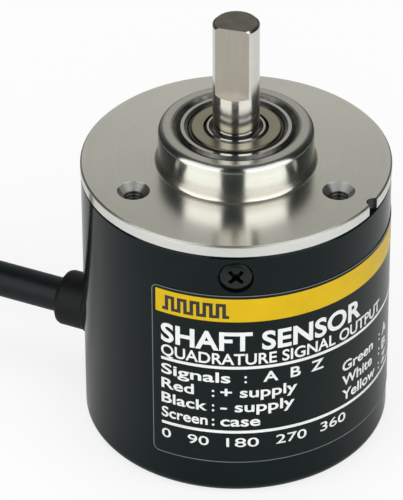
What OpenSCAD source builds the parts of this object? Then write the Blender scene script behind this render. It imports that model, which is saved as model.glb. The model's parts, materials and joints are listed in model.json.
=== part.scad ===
// Shaft-type incremental rotary encoder: flange with bearing boss, D-cut shaft,
// optical disc and board inside a cup-shaped case, side cable.
// Origin: centre of the flange's mounting face. +Z points out along the shaft,
// so "front" is +Z and "rear" is -Z. Azimuths are in degrees from +X.

/* [Flange] */
// Diameter of the flange rim
flange_d = 40; // [39.6:0.1:42]
// Height of the visible flange rim
rim_h = 1.65; // [1.3:0.05:1.8]
// Edge chamfer on the rim
edge_c = 0.2; // [0.1:0.05:0.4]
// Diameter of the locating boss
boss_d = 20; // [19:0.5:20]
// Height of the locating boss above the mounting face
boss_h = 5; // [4.95:0.05:5.2]
// Rounding of the boss's top edge
boss_edge = 0.9; // [0.2:0.1:1]
// Width of the sweep at the boss's foot
foot_w = 0.5; // [0.3:0.1:1.4]
// Height of the sweep at the boss's foot
foot_h = 1.2; // [0.3:0.1:2]
// Thickness of the flange block inside the case
block_h = 9; // [8.8:0.1:9.1]

/* [Mounting holes] */
// Pitch circle diameter of the three tapped mounting holes
pcd = 30; // [28:0.5:31]
// Minor diameter of the tapped hole
tap_d = 2.5; // [2:0.1:3]
// Usable depth of the tapped hole
tap_depth = 6; // [4:0.5:6]
// Countersink diameter at the face
sink_d = 4.2; // [3.4:0.1:4.6]
// Width of the orientation notch in the rim
notch_w = 1.9; // [1:0.1:2.4]

/* [Shaft] */
// Shaft diameter
shaft_d = 6; // [5.96:0.01:6]
// Height of the shaft's end above the mounting face
shaft_top = 20.4; // [17:0.1:26]
// Length of the D-cut, measured from the shaft's end
flat_len = 9.9; // [5:0.1:11]
// Distance across the D-cut, flat to far side
flat_across = 5; // [4.5:0.1:5.5]
// Direction that the flat faces, degrees
flat_az = 255; // [0:1:359]
// Chamfer on the shaft's end
shaft_c = 0.3; // [0.2:0.05:0.8]

/* [Case] */
// Distance from the mounting face to the rear of the case
case_len = 39; // [38.2:0.1:41]
// Wall thickness of the case
wall = 1.55; // [1.5:0.05:1.6]
// Rounding of the case's rear edge
rear_r = 1.6; // [0.5:0.1:1.8]
// Distance of the case screws from the mounting face
screw_z = 4.75; // [4.6:0.05:4.8]

/* [Label] */
// Angle where the label's left edge starts, degrees
label_start = 237.9; // [200:0.1:260]
// Angle the label covers, degrees
label_arc = 150; // [60:1:170]
// Top edge of the label below the mounting face
label_top = 7.5; // [7.3:0.1:12]
// Bottom edge of the label below the mounting face
label_bottom = 33.8; // [20:0.1:34.5]

/* [Cable] */
// Outside diameter of the cable
cable_d = 4.7; // [4.6:0.05:4.8]
// Direction in which the cable leaves, degrees
cable_az = 155.4; // [140:0.1:170]
// Depth of the cable's axis below the mounting face
cable_z = 29.25; // [28.8:0.05:29.6]
// Distance from the shaft axis to the end of the cable jacket
cable_end = 56; // [40:1:120]
// Outside diameter of the rubber bush
bush_d = 7.5; // [6.9:0.1:7.8]
// Distance from the shaft axis to the bush's outer end
bush_end = 25.4; // [23:0.1:30]

/* [Code disc] */
// Diameter of the code disc
disc_d = 27.8; // [26:0.1:27.8]
// Slits in one turn of the code disc
slits = 60; // [24:1:90]

/* [Hidden] */
$fn = 72;

over = 1;        // how far most cutters run past a surface
overlap = 0.01;  // small overlap or gap at a joint

flange_r = flange_d / 2;
boss_r = boss_d / 2;
shaft_r = shaft_d / 2;
cable_r = cable_d / 2;
bush_r = bush_d / 2;
case_r = flange_r - 0.05;
case_in = case_r - wall;
spigot_r = case_in - 0.05;  // flange block inside the case
case_top = -rim_h - 0.12;   // hairline gap under the rim

// bearings: 6 x 15 x 5 shielded ball bearings
bearing_r = 7.5;
bearing_w = 5;
ball_pitch_r = 4.95;
ball_r = 1.2;
groove_r = 1.25;
ball_n = 7;
front_z = 4.95;             // front face of the front bearing
rear_z = -9.2;              // front face of the rear bearing
housing_end = -14.4;
shoulder_z = rear_z + 0.4;  // housing shoulder in front of the rear bearing

// azimuths of repeated features
tap_az = [90, 210, 330];
screw_az = [30, 150, 270];
post_az = [0, 120, 240];
led_az = 270;
notch_az = 330;

// code disc and board levels
disc_top = -18.4;
disc_t = 0.2;
board_top = -20.9;
board_t = 1.2;
board_bot = board_top - board_t;
board_r = case_in - 0.4;
post_rad = case_in - 2.2;

// lamp and its holder, placed along azimuth led_az
led_rad = 12.3;
led_leg_y = 1.2;              // legs lie at plus and minus this
led_leg_r = 0.25;
led_leg_rad = post_rad + 0.7; // where the legs pass the board
holder_rad = led_rad + 0.5;   // line of the holder's screw and peg
holder_screw_y = 4.9;
holder_peg_y = -4.1;
holder_foot_t = 1.6;

// cable conductors: [distance of the solder hole, offset across, offset up]
core_pitch = 1.0;
lead_r = 0.5;
core_r = 0.28;
bend_r = 2;
lead_az = [90, 162, 18, 234, 306];
lead_pos = [for (k = [0:4])
  [9 - 1.5 * k, core_pitch * cos(lead_az[k]), core_pitch * sin(lead_az[k])]];
lead_end = cable_end + 7;

steel = [0.6, 0.6, 0.6];
bright = [0.7, 0.7, 0.7];
cage_brass = [0.75, 0.6, 0.3];
shield_tint = [0.62, 0.58, 0.45];
hub_brass = [0.75, 0.7, 0.5];
black = [0.1, 0.1, 0.1];
case_black = [0.06, 0.06, 0.07];

// ---------------------------------------------------------------- helpers
// elliptical arc as a list of points, ends included
function arc(cx, cy, rx, ry, from, to, steps) =
  [for (k = [0:steps]) let (a = from + (to - from) * k / steps)
    [cx + rx * cos(a), cy + ry * sin(a)]];

// places children at azimuth az and radius rad, with their +X pointing outward
module at(az, rad, z = 0) rotate([0, 0, az]) translate([rad, 0, z]) children();

module at_each(azimuths, rad, z = 0) for (a = azimuths) at(a, rad, z) children();

module radial_cyl(az, r, from, to, z)
  at(az, from, z) rotate([0, 90, 0]) cylinder(h = to - from, r = r);

// turns children's +Z outward along the cable's axis
module along_cable() at(cable_az, 0, -cable_z) rotate([0, 90, 0]) children();

module at_led_legs(rad, z = 0) for (side = [-1, 1])
  at(led_az, rad, z) translate([0, side * led_leg_y, 0]) children();

module at_lead_holes(z) rotate([0, 0, cable_az])
  for (p = lead_pos) translate([p.x, p.y, z]) children();

// flat ring; an inner radius of 0 gives a full circle
module ring(outer_r, inner_r, facets) difference() {
  circle(r = outer_r, $fn = facets);
  if (inner_r > 0) circle(r = inner_r, $fn = facets);
}

module washer(outer_r, inner_r, thickness) difference() {
  cylinder(h = thickness, r = outer_r);
  translate([0, 0, -over]) cylinder(h = 3, r = inner_r);
}

// screw pointing up, with a cross recess in the underside of its head
module cross_screw(seat_z, shank_z, shank_h, head_r, head_h, slot_len, slot_w, slot_depth) {
  difference() {
    union() {
      translate([0, 0, shank_z]) cylinder(h = shank_h, r = 0.78);
      translate([0, 0, seat_z - head_h]) cylinder(h = head_h, r = head_r);
    }
    for (a = [0, 90]) rotate([0, 0, a])
      translate([-slot_len / 2, -slot_w / 2, seat_z - head_h - 0.5])
        cube([slot_len, slot_w, slot_depth + 0.5]);
  }
}

// ---------------------------------------------------------------- flange
// half section [radius, z], from the bore's mouth outward, to the rear and back up the bore
module flange_profile() {
  bore_c = 0.3;
  polygon(concat(
    [[bearing_r + 0.6, boss_h - 0.11], [bearing_r + 0.9, boss_h]],
    arc(boss_r - boss_edge, boss_h - boss_edge, boss_edge, boss_edge, 90, 0, 10),
    arc(boss_r + foot_w, foot_h, foot_w, foot_h, 180, 270, 12),
    [[flange_r - edge_c, 0], [flange_r, -edge_c],
     [flange_r, -rim_h + 0.1], [flange_r - 0.1, -rim_h],
     [spigot_r, -rim_h], [spigot_r, -block_h + 0.3], [spigot_r - 0.3, -block_h],
     [boss_r, -block_h], [boss_r, housing_end + 0.3], [boss_r - 0.3, housing_end],
     [bearing_r + bore_c, housing_end], [bearing_r, housing_end + bore_c],
     [bearing_r, shoulder_z], [6.6, shoulder_z], [6.6, front_z - bearing_w],
     [bearing_r, front_z - bearing_w], [bearing_r, boss_h - 0.65]]));
}

// tapped mounting hole with drill point and countersink
module mounting_hole() {
  point_h = 0.7;
  sink_h = (sink_d - tap_d) / 2;
  translate([0, 0, -tap_depth]) cylinder(h = tap_depth + over, r = tap_d / 2);
  translate([0, 0, -tap_depth - point_h]) cylinder(h = point_h, r1 = 0.05, r2 = tap_d / 2);
  translate([0, 0, -sink_h]) cylinder(h = sink_h, r1 = tap_d / 2, r2 = sink_d / 2);
  cylinder(h = over, r = sink_d / 2);
}

module flange() color([0.72, 0.71, 0.68]) difference() {
  rotate_extrude($fn = 128) flange_profile();
  at_each(tap_az, pcd / 2) mounting_hole();
  // orientation notch
  at(notch_az, flange_r + 0.05, -rim_h - overlap)
    cylinder(h = rim_h + over, r = notch_w / 2, $fn = 48);
  // radial tapped holes for the case screws
  for (a = screw_az) radial_cyl(a, 0.98, spigot_r - 4.6, flange_r + over, -screw_z);
  // tapped holes for the board posts
  at_each(post_az, post_rad, -block_h - over) cylinder(h = 3.6, r = 1);
  // tapped hole for the lamp holder's screw, and the hole for its locating peg
  at(led_az, holder_rad, -block_h - over) {
    translate([0, holder_screw_y, 0]) cylinder(h = 3.4, r = 0.8);
    translate([0, holder_peg_y, 0]) cylinder(h = 2.2, r = 0.8);
  }
}

// ---------------------------------------------------------------- shaft
module shaft() color([0.75, 0.74, 0.7]) {
  relief = 0.02;        // the D-cut length is slimmer by this, so that a coupling slides on
  undercut = 0.25;
  shoulder_r = 3.6;     // between the bearings
  flat_bottom = shaft_top - flat_len;
  bottom = -20;
  difference() {
    rotate_extrude($fn = 96) polygon([
      [0, shaft_top], [shaft_r - relief - shaft_c, shaft_top],
      [shaft_r - relief, shaft_top - shaft_c], [shaft_r - relief, flat_bottom + 0.05],
      [shaft_r, flat_bottom + 0.03],
      // narrow undercut that ends the bearing seat
      [shaft_r, front_z + 0.15], [shaft_r - undercut, front_z + 0.05],
      [shaft_r - undercut, front_z - 0.3], [shaft_r, front_z - 0.45],
      [shaft_r, front_z - bearing_w], [shoulder_r, front_z - bearing_w],
      [shoulder_r, rear_z], [shaft_r, rear_z],
      [shaft_r, bottom + 0.3], [shaft_r - 0.3, bottom], [0, bottom]]);
    // D-cut
    rotate([0, 0, flat_az]) translate([flat_across - shaft_r, -shaft_r - over, flat_bottom])
      cube([shaft_r + over, shaft_d + 2 * over, flat_len + over]);
  }
}

// ---------------------------------------------------------------- bearings
// each takes the z of the bearing's front face
module raceway(top) rotate_extrude() translate([ball_pitch_r, top - bearing_w / 2])
  circle(r = groove_r);

module outer_ring(top) {
  bottom = top - bearing_w;
  difference() {
    rotate_extrude($fn = 128) polygon([
      [6.68, top], [bearing_r - 0.4, top], [bearing_r, top - 0.4],
      [bearing_r, bottom + 0.4], [bearing_r - 0.4, bottom],
      [6.68, bottom], [6.25, bottom + 0.28], [6.12, bottom + 0.5], [5.85, bottom + 0.6],
      [5.85, top - 0.6], [6.12, top - 0.5], [6.25, top - 0.28]]);
    raceway(top);
  }
}

module inner_ring(top) {
  bottom = top - bearing_w;
  difference() {
    rotate_extrude($fn = 96) polygon([
      [shaft_r + 0.5, top], [3.74, top], [4.05, top - 0.3],
      [4.05, bottom + 0.3], [3.74, bottom],
      [shaft_r + 0.5, bottom], [shaft_r, bottom + 0.5], [shaft_r, top - 0.5]]);
    raceway(top);
  }
}

module at_balls(z = 0) for (k = [0:ball_n - 1]) at(360 / ball_n * k, ball_pitch_r, z) children();

module balls(top) at_balls(top - bearing_w / 2) sphere(r = ball_r, $fn = 32);

module cage(top) translate([0, 0, top - bearing_w / 2]) difference() {
  rotate_extrude() polygon([[4.5, -0.6], [5.4, -0.6], [5.4, 1.55], [4.5, 1.55]]);
  at_balls() sphere(r = ball_r + 0.04, $fn = 32);
}

// dished plate with its outer edge turned down into the outer ring's step
module shield_plate() rotate_extrude($fn = 128) polygon([
  [4.2, 0], [5.6, 0], [5.72, -0.05], [5.79, -0.15], [5.81, -0.26], [6.08, -0.26],
  [6.08, -0.41], [5.66, -0.41], [5.6, -0.22], [4.2, -0.22]]);

module shields(top) {
  recess = 0.08;
  translate([0, 0, top - recess]) shield_plate();
  translate([0, 0, top - bearing_w + recess]) mirror([0, 0, 1]) shield_plate();
}

module front_outer_ring() color(steel) outer_ring(front_z);
module front_inner_ring() color(steel) inner_ring(front_z);
module front_balls() color([0.8, 0.8, 0.8]) balls(front_z);
module front_cage() color(cage_brass) cage(front_z);
module front_shields() color(shield_tint) shields(front_z);
module rear_outer_ring() color(steel) outer_ring(rear_z);
module rear_inner_ring() color(steel) inner_ring(rear_z);
module rear_balls() color([0.8, 0.8, 0.8]) balls(rear_z);
module rear_cage() color(cage_brass) cage(rear_z);
module rear_shields() color(shield_tint) shields(rear_z);

// thin spring washer between the housing shoulder and the rear outer ring
module wave_washer() color([0.5, 0.5, 0.5]) translate([0, 0, rear_z + 0.06])
  washer(outer_r = 7.4, inner_r = 6.2, thickness = 0.28);

// ---------------------------------------------------------------- code disc group
hub_set_az = [0, 90];
hub_set_z = -16.2;
hub_nose_r = 5;               // carries the disc and its clamp ring
disc_bore_r = hub_nose_r + 0.02;

module code_hub() color(hub_brass) difference() {
  hub_top = rear_z - bearing_w;
  collar_r = 6;
  plate_top = -17.4;
  bottom = -19.5;
  rotate_extrude($fn = 96) polygon([
    [shaft_r, hub_top], [3.85, hub_top], [3.85, -15], [collar_r - 0.2, -15],
    [collar_r, -15.2], [collar_r, plate_top], [9, plate_top], [9, disc_top],
    [hub_nose_r, disc_top], [hub_nose_r, bottom + 0.2], [hub_nose_r - 0.2, bottom],
    [shaft_r, bottom]]);
  for (a = hub_set_az) radial_cyl(a, 1, shaft_r - 0.5, 7, hub_set_z);
}

module hub_set_screws() color([0.25, 0.25, 0.25]) for (a = hub_set_az) difference() {
  radial_cyl(a, 0.98, shaft_r + 0.02, 5.7, hub_set_z);
  // hexagon socket
  radial_cyl(a, 0.55, 4.9, 6.4, hub_set_z, $fn = 6);
}

module code_disc() color([0.45, 0.45, 0.48]) {
  slit = [1.5, 0.6];
  index_slit = [0.9, 0.5];
  translate([0, 0, disc_top - disc_t]) linear_extrude(height = disc_t) difference() {
    circle(d = disc_d, $fn = 128);
    circle(r = disc_bore_r);
    // counting track
    for (k = [0:slits - 1]) rotate(360 / slits * k) translate([11.6, -slit.y / 2]) square(slit);
    rotate(15) translate([10.2, -index_slit.y / 2]) square(index_slit);
  }
}

module disc_clamp_ring() color(hub_brass) {
  thickness = 0.6;
  translate([0, 0, disc_top - disc_t - thickness])
    washer(outer_r = 8, inner_r = disc_bore_r, thickness = thickness);
}

// ---------------------------------------------------------------- light source and sensor
module led_holder() color([0.12, 0.12, 0.12]) at(led_az, 0) {
  bottom = -18;
  width = 5.4;
  difference() {
    // column, foot and locating peg
    union() {
      translate([10.3, -width / 2, bottom]) cube([4.5, width, -bottom - block_h]);
      translate([10.8, -5.4, -block_h - holder_foot_t]) cube([4, 12.3, holder_foot_t]);
      translate([holder_rad, holder_peg_y, -block_h]) cylinder(h = 1.1, r = 0.78);
    }
    // lamp bore, lamp seat and the channel for its legs
    translate([led_rad, 0, bottom - over]) cylinder(h = 6, r = 1.52);
    translate([led_rad, 0, -14.4]) cylinder(h = 1.4, r = 1.95);
    translate([led_rad - 1.7, -1.75, -14.2]) cube([6, 3.5, 2.7]);
    // screw hole
    translate([holder_rad, holder_screw_y, -12]) cylinder(h = 5, r = 0.9);
  }
}

module led_holder_screw() color([0.5, 0.5, 0.5]) {
  seat_z = -block_h - holder_foot_t;
  at(led_az, holder_rad) translate([0, holder_screw_y, 0])
    cross_screw(seat_z = seat_z, shank_z = seat_z, shank_h = 3.8, head_r = 1.5, head_h = 1,
      slot_len = 1.6, slot_w = 0.35, slot_depth = 0.5);
}

led_base = -13.5;

module led() color([0.8, 0.85, 0.9, 0.6]) at(led_az, led_rad) {
  body_r = 1.5;
  rim_r = 1.9;
  rotate_extrude() polygon(concat(
    [[0, led_base], [rim_r, led_base], [rim_r, -14.35], [body_r, -14.35]],
    arc(0, -16.2, body_r, body_r, 0, -90, 8)));
}

// each leg rises from the lamp, runs outward and drops through the board
module led_legs() color(bright) {
  bend = 0.6;
  bend_z = -13.1;
  base_z = led_base + overlap;
  tip_z = board_bot - 0.5;
  inner_x = led_rad - 0.4;
  at_led_legs(0) {
    translate([inner_x, 0, base_z]) cylinder(h = bend_z - base_z, r = led_leg_r);
    // bends: [x of the centre, turn]
    for (b = [[inner_x + bend, 90], [led_leg_rad - bend, 0]])
      translate([b[0], 0, bend_z]) rotate([90, 0, 0]) rotate([0, 0, b[1]])
        rotate_extrude(angle = 90) translate([bend, 0]) circle(r = led_leg_r);
    translate([inner_x + bend, 0, bend_z + bend]) rotate([0, 90, 0])
      cylinder(h = led_leg_rad - inner_x - 2 * bend, r = led_leg_r);
    translate([led_leg_rad, 0, tip_z]) cylinder(h = bend_z - tip_z, r = led_leg_r);
  }
}

sensor_h = 1.2;

module reticle() color([0.7, 0.8, 0.85, 0.6]) at(led_az, led_rad, board_top + sensor_h)
  difference() {
    translate([-1.6, -2.4, 0]) cube([3.2, 4.8, 0.4]);
    // two shallow windows
    for (side = [-1, 1]) translate([-0.9, side * 1.1 - 0.5, 0.3]) cube([1.8, 1, 0.5]);
  }

module photodetector() color(black) at(led_az, led_rad, board_top) difference() {
  translate([-2, -2.8, 0]) cube([4, 5.6, sensor_h]);
  translate([-1, -1.8, sensor_h - 0.25]) cube([2, 3.6, 1]);
}

// ---------------------------------------------------------------- board
module circuit_board() color([0.05, 0.3, 0.15]) {
  cut_z = board_bot - over;
  cut_h = 4;
  difference() {
    translate([0, 0, board_bot]) cylinder(h = board_t, r = board_r, $fn = 128);
    at_each(post_az, post_rad, cut_z) cylinder(h = cut_h, r = 1);
    at_led_legs(led_leg_rad, cut_z) cylinder(h = cut_h, r = 0.32);
    at_lead_holes(cut_z) cylinder(h = cut_h, r = 0.36);
  }
}

// hexagonal posts with a stud at the front and a tapped hole at the rear
module board_posts() color([0.75, 0.65, 0.35]) at_each(post_az, post_rad) difference() {
  union() {
    translate([0, 0, board_top]) cylinder(h = -block_h - board_top, r = 1.7, $fn = 6);
    translate([0, 0, -block_h - overlap]) cylinder(h = 2.5, r = 0.98);
  }
  translate([0, 0, board_top - over]) cylinder(h = 5, r = 0.8);
}

module board_screws() color(steel) at_each(post_az, post_rad)
  cross_screw(seat_z = board_bot, shank_z = board_bot - overlap, shank_h = 4.4,
    head_r = 1.55, head_h = 1.1, slot_len = 1.7, slot_w = 0.4, slot_depth = 0.55);

ic_size = [3.9, 9.9, 1.5];
ic_pitch = 1.27;
module ic_frame() at(cable_az, -6.5, board_bot) children();

module signal_ic() color(black) ic_frame() difference() {
  translate([-ic_size.x / 2, -ic_size.y / 2, -0.2 - ic_size.z]) cube(ic_size);
  // pin 1 dimple
  translate([0, 4.2, -1.8]) cylinder(h = 0.25, r = 0.4);
}

// two rows of eight stepped legs
module signal_ic_legs() color(bright) {
  leg_w = 0.4;
  leg_t = 0.2;
  leg_z = -1.05;
  ic_frame() for (side = [0, 1], k = [0:7]) mirror([side, 0, 0])
    translate([ic_size.x / 2, ic_pitch * (k - 3.5) - leg_w / 2, 0]) {
      translate([0, 0, leg_z]) cube([0.5, leg_w, leg_t]);
      translate([0.4, 0, leg_z]) cube([leg_t, leg_w, -leg_z - overlap]);
      translate([0.4, 0, -leg_t - overlap]) cube([0.75, leg_w, leg_t]);
    }
}

module regulator() color(black) {
  size = [2.5, 4.5, 1.5];
  at(cable_az + 90, 7) translate([0, -size.y / 2, board_bot - size.z]) cube(size);
}

module filter_capacitor() color([0.7, 0.7, 0.72]) at(cable_az - 80, 9.5, board_bot - 5.4)
  rotate_extrude() polygon([[0, 0], [2.2, 0], [2.5, 0.3], [2.5, 3.9], [2.3, 4.2], [2.5, 4.5],
    [2.5, 5.38], [0, 5.38]]);

// two rows of chips near the board's edge; azimuths from the cable's
chip_az = concat([for (k = [0:4]) 45 + 9 * k], [for (k = [0:3]) -140 - 9 * k]);

module chip_parts() color([0.35, 0.28, 0.2]) {
  size = [1.6, 0.8, 0.55];
  for (a = chip_az) at(cable_az + a, 13, board_bot - overlap - size.z)
    translate([0, -size.y / 2, 0]) cube(size);
}

module solder_cone(wire_r) difference() {
  translate([0, 0, -0.55]) cylinder(h = 0.54, r1 = 0.4, r2 = 0.75);
  translate([0, 0, -2]) cylinder(h = 4, r = wire_r + 0.02);
}

module solder_joints() color([0.75, 0.75, 0.77]) {
  at_lead_holes(board_bot) solder_cone(core_r);
  at_led_legs(led_leg_rad, board_bot) solder_cone(led_leg_r);
}

// ---------------------------------------------------------------- cable
// one conductor's path: along the cable, a quarter bend, then up to the board
module lead_path(k, far, top, outer_r, inner_r) {
  p = lead_pos[k];
  axis_z = -cable_z + p.z;
  bend_x = p.x + bend_r;
  bend_z = axis_z + bend_r;
  rotate([0, 0, cable_az]) translate([0, p.y, 0]) {
    translate([bend_x, 0, axis_z]) rotate([0, 90, 0])
      linear_extrude(height = far - bend_x) ring(outer_r, inner_r, 32);
    translate([bend_x, 0, bend_z]) rotate([90, 0, 0]) rotate([0, 0, 180])
      rotate_extrude(angle = 90) translate([bend_r, 0]) ring(outer_r, inner_r, 32);
    translate([p.x, 0, bend_z])
      linear_extrude(height = top - bend_z) ring(outer_r, inner_r, 32);
  }
}

module lead(k) lead_path(k, lead_end, board_bot - 0.9, lead_r, core_r + 0.01);
module lead_red() color([0.7, 0.08, 0.06]) lead(0);
module lead_black() color([0.06, 0.06, 0.06]) lead(1);
module lead_green() color([0.1, 0.4, 0.15]) lead(2);
module lead_white() color([0.85, 0.85, 0.82]) lead(3);
module lead_yellow() color([0.85, 0.7, 0.1]) lead(4);
module copper_cores() color([0.75, 0.42, 0.25])
  for (k = [0:4]) lead_path(k, lead_end + 2.5, board_top + 0.25, core_r, 0);

// tube around the cable's axis, between two distances from the shaft axis
module cable_tube(from, to, outer_r, inner_r) along_cable() translate([0, 0, from])
  linear_extrude(height = to - from) ring(outer_r, inner_r, 64);

module cable_shield() color(steel) cable_tube(12.8, cable_end + 1.5, 1.83, 1.62);

// the jacket is squeezed by the bead in the bush's mouth
bead = 0.2;
bead_start = bush_end - 1.4;
bead_full = bush_end - 1.2;

module cable_jacket() color(case_black) {
  bore_r = 1.85;
  start = 13.5;
  along_cable() rotate_extrude($fn = 64) polygon([
    [bore_r, start], [cable_r, start], [cable_r, bead_start],
    [cable_r - bead, bead_full], [cable_r - bead, bush_end - 0.2], [cable_r, bush_end],
    [cable_r, cable_end - 0.1], [cable_r - 0.1, cable_end], [bore_r, cable_end]]);
}

// split crimp band that stops the cable from being pulled out
module cable_clamp() color([0.7, 0.68, 0.6]) difference() {
  cable_tube(14.1, 16.2, cable_r + 0.6, cable_r + 0.02);
  at(cable_az, 13, -cable_z) translate([0, -0.3, 0]) cube([4, 0.6, 5]);
}

module cable_bush() color([0.05, 0.05, 0.05]) difference() {
  collar_r = bush_r + 0.2;
  bore_r = cable_r + 0.01;
  mouth_r = cable_r + 0.11;
  union() {
    // outer sleeve and its collar, standing on the curved case wall
    difference() {
      along_cable() rotate_extrude() polygon([
        [0, 18.6], [collar_r, 18.6], [collar_r, 21], [bush_r, 21.25],
        [bush_r, bush_end - 0.7], [bush_r - 0.15, bush_end - 0.3],
        [bush_r - 0.6, bush_end], [0, bush_end]]);
      translate([0, 0, -case_len - over])
        cylinder(h = case_len + 2 * over, r = case_r + 0.02, $fn = 128);
    }
    // neck through the case wall
    radial_cyl(cable_az, 2.98, 17.2, 20.4, -cable_z);
    // inner collar
    intersection() {
      radial_cyl(cable_az, 4, 16.4, 19, -cable_z);
      translate([0, 0, -case_len]) cylinder(h = case_len, r = case_in - 0.02, $fn = 128);
    }
  }
  // bore with a gripping bead near its mouth
  along_cable() rotate_extrude($fn = 64) polygon([
    [0, 10], [bore_r, 10], [bore_r, bead_start], [bore_r - bead, bead_full],
    [bore_r - bead, bush_end - 0.25], [mouth_r, bush_end],
    [mouth_r, bush_end + over], [0, bush_end + over]]);
}

// ---------------------------------------------------------------- case
module case() color(case_black) {
  floor_z = -case_len + 1.6;
  difference() {
    rotate_extrude($fn = 128) polygon(concat(
      [[case_in, case_top], [case_r - 0.2, case_top], [case_r, case_top - 0.2]],
      arc(case_r - rear_r, -case_len + rear_r, rear_r, rear_r, 0, -90, 10),
      [[0, -case_len], [0, floor_z], [case_in - 0.5, floor_z], [case_in, floor_z + 0.5]]));
    // screw holes and the seats for their heads
    for (a = screw_az) {
      radial_cyl(a, 1.15, case_in - over, case_r + over, -screw_z);
      radial_cyl(a, 2.3, case_r - 0.95, case_r + over, -screw_z);
    }
    // cable opening
    radial_cyl(cable_az, 3, case_in - 2, case_r + 2, -cable_z);
  }
}

// radial screws with domed heads and a cross recess
module case_screws() color([0.08, 0.08, 0.08]) {
  tip = spigot_r - 4.2;
  shank_r = 0.96;
  head_r = 2.05;
  head_seat = case_r - 0.94;
  recess_floor = case_r - 0.72;
  slot_len = 2.4;
  slot_w = 0.52;
  at_each(screw_az, 0, -screw_z) rotate([0, 90, 0]) difference() {
    rotate_extrude($fn = 64) polygon(concat(
      [[0, tip], [0.75, tip], [shank_r, tip + 0.25], [shank_r, head_seat], [head_r, head_seat]],
      arc(0, case_r - 0.4, head_r, 0.32, 0, 90, 6)));
    for (a = [45, 135]) rotate([0, 0, a]) translate([-slot_len / 2, -slot_w / 2, recess_floor])
      cube([slot_len, slot_w, 2]);
    translate([0, 0, recess_floor]) cylinder(h = 2, r = 0.52, $fn = 16);
  }
}

// film sector: a thin tube less the wedge that the label doesn't cover
module label_film() difference() {
  translate([0, 0, -label_bottom])
    cylinder(h = label_bottom - label_top, r = case_r + 0.08, $fn = 128);
  translate([0, 0, -label_bottom - over])
    cylinder(h = label_bottom + over, r = case_r, $fn = 128);
  rotate([0, 0, label_start + label_arc]) translate([0, 0, -label_bottom - over])
    linear_extrude(height = label_bottom + over)
      polygon(concat([[0, 0]], arc(0, 0, flange_d, flange_d, 0, 360 - label_arc, 7)));
}

// cutter that rounds the label's top corner at its starting edge
module label_corner() {
  corner = 0.9;
  difference() {
    translate([-1, -0.5, -corner]) cube([2, corner + 0.5, corner + 0.5]);
    translate([-2, corner, -corner]) rotate([0, 90, 0])
      cylinder(h = 4, r = corner * 1.05, $fn = 48);
  }
}

module name_label() color(black) difference() {
  label_film();
  for (side = [0, 1], end = [0, 1])
    at(label_start + side * label_arc, case_r, end == 0 ? -label_top : -label_bottom)
      mirror([0, side, 0]) mirror([0, 0, end]) label_corner();
}

flange();
shaft();
front_outer_ring();
front_inner_ring();
front_balls();
front_cage();
front_shields();
rear_outer_ring();
rear_inner_ring();
rear_balls();
rear_cage();
rear_shields();
wave_washer();
code_hub();
hub_set_screws();
code_disc();
disc_clamp_ring();
led_holder();
led_holder_screw();
led();
led_legs();
reticle();
photodetector();
circuit_board();
board_posts();
board_screws();
signal_ic();
signal_ic_legs();
regulator();
filter_capacitor();
chip_parts();
solder_joints();
lead_red();
lead_black();
lead_green();
lead_white();
lead_yellow();
copper_cores();
cable_shield();
cable_jacket();
cable_clamp();
cable_bush();
case();
case_screws();
name_label();
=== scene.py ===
# A rotary encoder standing on its rear end, with the shaft pointing up along +Z. The flange's
# front face is at z = 0, its boss rises to z = 5 mm, and the case hangs below it. The camera
# looks from -Y and above.
import json
import math
from functools import reduce

import bmesh
import bpy
from mathutils import Matrix, Vector


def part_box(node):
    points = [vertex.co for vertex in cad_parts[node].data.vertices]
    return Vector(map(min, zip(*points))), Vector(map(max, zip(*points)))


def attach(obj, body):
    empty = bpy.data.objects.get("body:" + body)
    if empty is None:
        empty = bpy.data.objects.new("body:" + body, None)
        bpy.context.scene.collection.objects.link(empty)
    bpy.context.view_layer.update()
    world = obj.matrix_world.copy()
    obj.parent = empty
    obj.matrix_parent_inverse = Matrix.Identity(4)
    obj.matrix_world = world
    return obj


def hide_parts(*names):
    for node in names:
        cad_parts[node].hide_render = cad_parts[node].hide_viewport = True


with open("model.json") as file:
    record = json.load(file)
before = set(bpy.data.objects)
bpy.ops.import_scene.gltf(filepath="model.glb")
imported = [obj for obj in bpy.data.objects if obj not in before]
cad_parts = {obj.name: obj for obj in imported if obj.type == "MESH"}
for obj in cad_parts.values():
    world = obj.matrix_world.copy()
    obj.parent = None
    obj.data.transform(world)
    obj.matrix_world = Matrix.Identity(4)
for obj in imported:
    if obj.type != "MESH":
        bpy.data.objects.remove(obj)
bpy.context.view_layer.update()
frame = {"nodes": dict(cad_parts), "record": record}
MM = 0.001

# ------------------------------------------------------------------ places read from the frame
LABEL_LOW, LABEL_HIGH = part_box("name_label")
CASE_LOW, CASE_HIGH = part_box("case")
SHAFT_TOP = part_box("shaft")[1].z
MOUNTS = {mount["name"]: mount for mount in frame["record"]["mounts"]}
HOLE_CIRCLE_R = MOUNTS["face_holes"]["dims"]["pcd_mm"] * MM / 2

# azimuths in degrees from +X towards +Y
TAPPED_HOLE_AZIMUTHS = (90, 210, 330)
RIM_NOTCH_AZIMUTH = 330.0
CASE_SCREW_AZIMUTHS = (30, 150, 270)
SHAFT_FLAT_AZIMUTH = 255.0


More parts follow.
